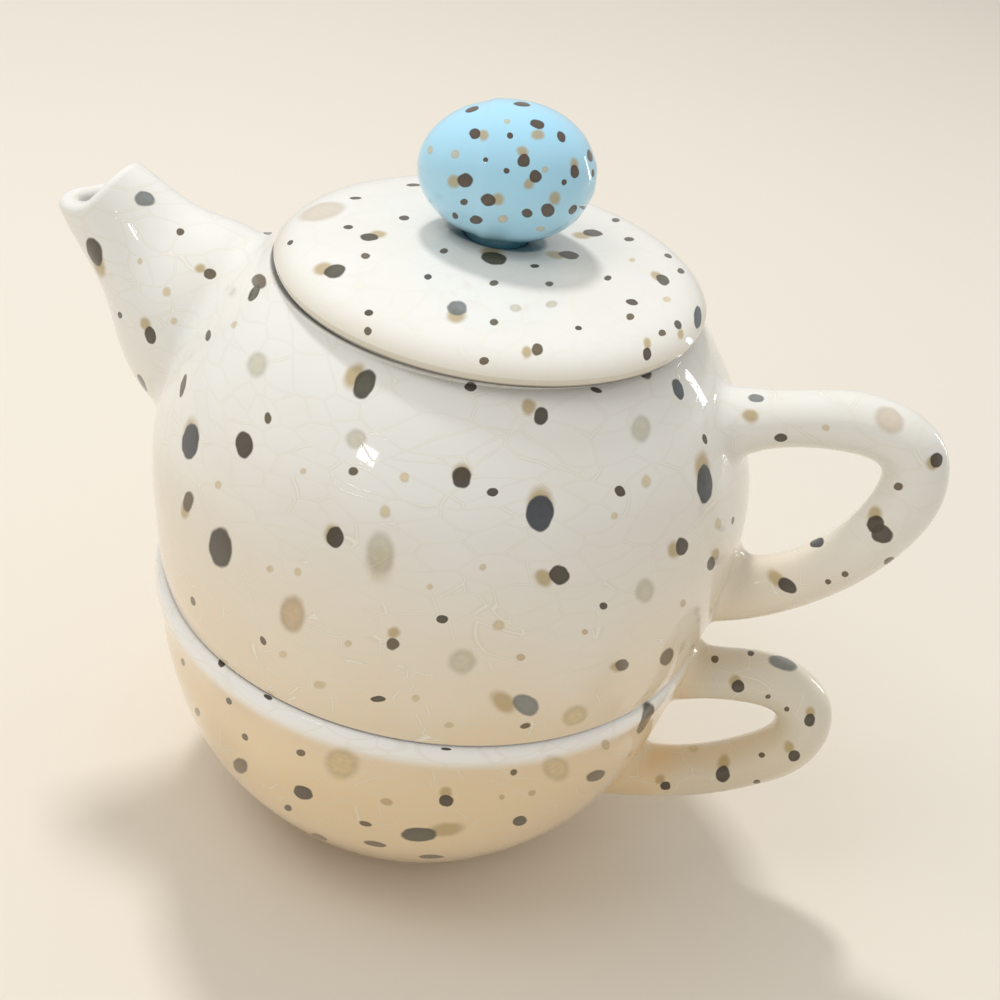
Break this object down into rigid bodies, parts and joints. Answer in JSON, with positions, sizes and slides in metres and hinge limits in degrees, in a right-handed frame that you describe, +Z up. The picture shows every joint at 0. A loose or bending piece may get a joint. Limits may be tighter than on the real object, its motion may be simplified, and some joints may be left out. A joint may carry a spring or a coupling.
{
  "type": "teapot_with_cup",
  "caption": "Glazed earthenware tea for one set: a domed teapot with its own lid standing in a wide cup, cream speckled glaze, with a blue egg as the lid's knob",
  "frame": {"origin": "Centre of the cup's foot ring, on the surface that the set stands on", "axes": "+Z up, +X towards both handles, -X towards the spout"},
  "size_m": [0.1751, 0.116, 0.1563],
  "materials": {
    "body_glaze": "gloss, crazed, with dark speckles",
    "egg_glaze": "gloss, with brown speckles"
  },
  "bodies": {
    "root": {"cup": "body_glaze", "teapot": "body_glaze", "lid": "body_glaze", "egg_knob": "egg_glaze"}
  },
  "joints": []
}
